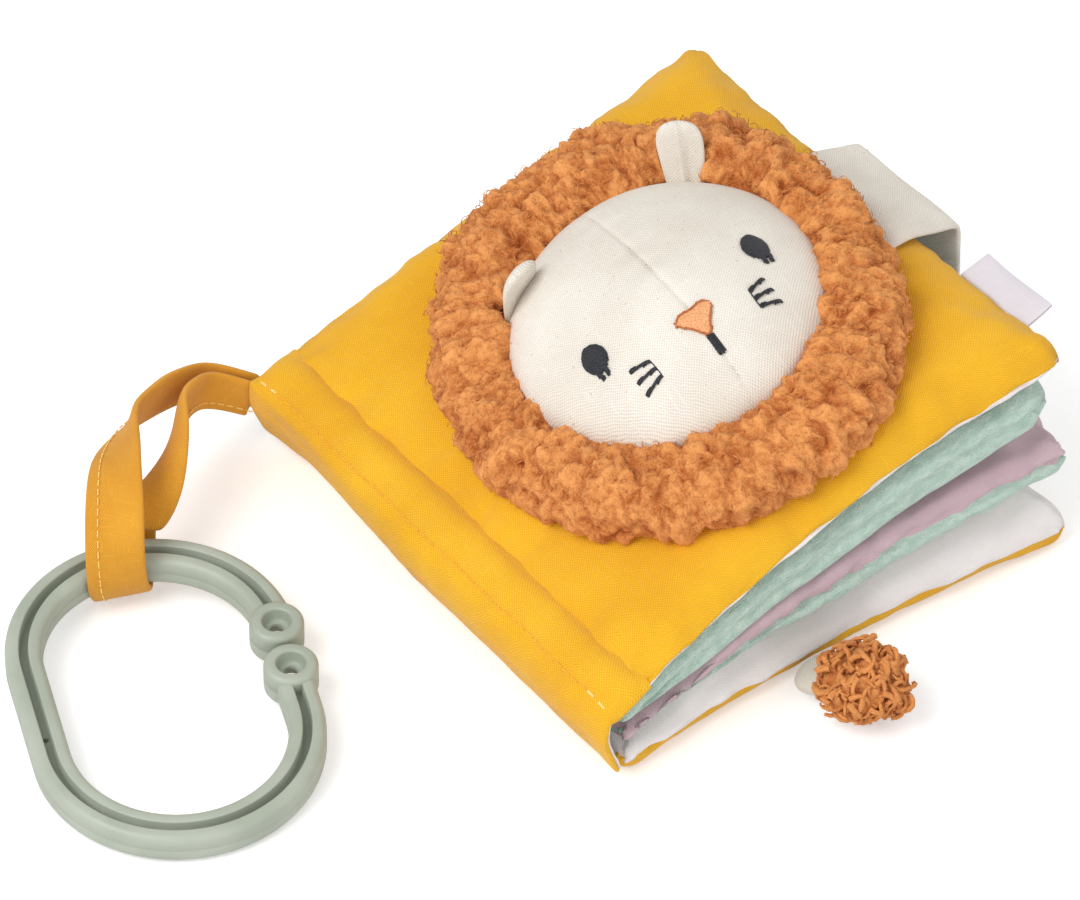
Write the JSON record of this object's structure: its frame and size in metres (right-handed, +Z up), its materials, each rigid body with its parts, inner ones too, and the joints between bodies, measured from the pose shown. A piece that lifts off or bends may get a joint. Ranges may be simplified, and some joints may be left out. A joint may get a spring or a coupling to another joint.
{
  "type": "crinkle cloth book",
  "caption": "Square padded cloth book with crinkle pages, a stuffed lion head on its front cover, a closure strap, a label, a tail and a link ring on a cloth loop.",
  "frame": {"origin": "centre of the flat patch under the back cover that the book rests on", "axes": "+X from the spine to the fore-edge, +Y from the tail edge to the head edge, +Z up through the front cover"},
  "size_m": [0.2553, 0.1841, 0.0886],
  "materials": {
    "mustard_cotton": "woven cotton with small slubs, light padding puckers",
    "white_cotton": "plain smooth cotton",
    "mint_plush": "short pile plush",
    "mauve_cotton": "smooth cotton with puckers",
    "linen": "natural linen with flecks",
    "teddy_fleece": "curly teddy fleece",
    "wadding": "soft polyester wadding, hidden",
    "crinkle_film": "thin crinkling film, hidden",
    "charcoal_thread": "satin-stitch embroidery",
    "orange_thread": "satin-stitch embroidery",
    "label_satin": "smooth folded tape",
    "hook_tape": "hook-and-loop tape",
    "sage_plastic": "satin moulded plastic"
  },
  "bodies": {
    "back_cover": {"back_cover_cloth": "mustard_cotton", "back_cover_wadding": "wadding", "back_cover_crinkle_film": "crinkle_film", "back_cover_lining": "white_cotton", "spine_cloth": "mustard_cotton", "spine_lining": "white_cotton"},
    "leaf_b": {"leaf_b_lower_plush": "mint_plush", "leaf_b_wadding": "wadding", "leaf_b_crinkle_film": "crinkle_film", "leaf_b_upper_cotton": "mauve_cotton"},
    "leaf_a": {"leaf_a_lower_plush": "mint_plush", "leaf_a_wadding": "wadding", "leaf_a_crinkle_film": "crinkle_film", "leaf_a_upper_plush": "mint_plush"},
    "front_cover": {"front_cover_lining": "white_cotton", "front_cover_wadding": "wadding", "front_cover_crinkle_film": "crinkle_film", "front_cover_cloth": "mustard_cotton", "lion_face": "linen", "lion_head_filling": "wadding", "lion_mane": "teddy_fleece", "ear_left": "linen", "ear_right": "linen", "eye_left": "charcoal_thread", "eye_right": "charcoal_thread", "nose": "orange_thread", "mouth": "charcoal_thread", "whisker_left_1": "charcoal_thread", "whisker_left_2": "charcoal_thread", "whisker_left_3": "charcoal_thread", "whisker_right_1": "charcoal_thread", "whisker_right_2": "charcoal_thread", "whisker_right_3": "charcoal_thread", "closure_strap": "linen", "woven_label": "label_satin"},
    "strap_flap": {"closure_strap_flap": "linen", "strap_hook_patch": "hook_tape"},
    "hanging_loop": {"hanging_loop": "mustard_cotton"},
    "link_ring": {"link_ring": "sage_plastic"},
    "tail": {"tail_tube": "linen", "tail_tuft": "teddy_fleece"}
  },
  "joints": [
    {"name": "leaf_b_turn", "type": "hinge", "parent": "back_cover", "child": "leaf_b", "pos_m": [-0.0676, 0, 0.0124], "axis": [0, 1, 0], "range_deg": [-98, 0]},
    {"name": "leaf_a_turn", "type": "hinge", "parent": "leaf_b", "child": "leaf_a", "pos_m": [-0.0676, 0, 0.015], "axis": [0, -1, 0], "range_deg": [0, 105]},
    {"name": "cover_open", "type": "hinge", "parent": "leaf_a", "child": "front_cover", "pos_m": [-0.0666, 0, 0.0205], "axis": [0, -1, 0], "range_deg": [0, 125], "deforming": ["spine_cloth", "spine_lining"]},
    {"name": "strap_fold", "type": "hinge", "parent": "front_cover", "child": "strap_flap", "pos_m": [0.07283, -0.002, 0.05387], "axis": [0, -1, 0], "range_deg": [0, 100]},
    {"name": "loop_swing", "type": "hinge", "parent": "back_cover", "child": "hanging_loop", "pos_m": [-0.0703, 0.07585, 0.015], "axis": [0, 0, -1], "range_deg": [0, 60]},
    {"name": "ring_tip", "type": "hinge", "parent": "hanging_loop", "child": "link_ring", "pos_m": [-0.1265, 0.05, 0.00943], "axis": [-0.9361, 0.3518, 0], "range_deg": [0, 80]},
    {"name": "tail_lift", "type": "hinge", "parent": "back_cover", "child": "tail", "pos_m": [-0.009, -0.07648, 0.005], "axis": [-1, 0, 0], "range_deg": [-25, 20]}
  ]
}
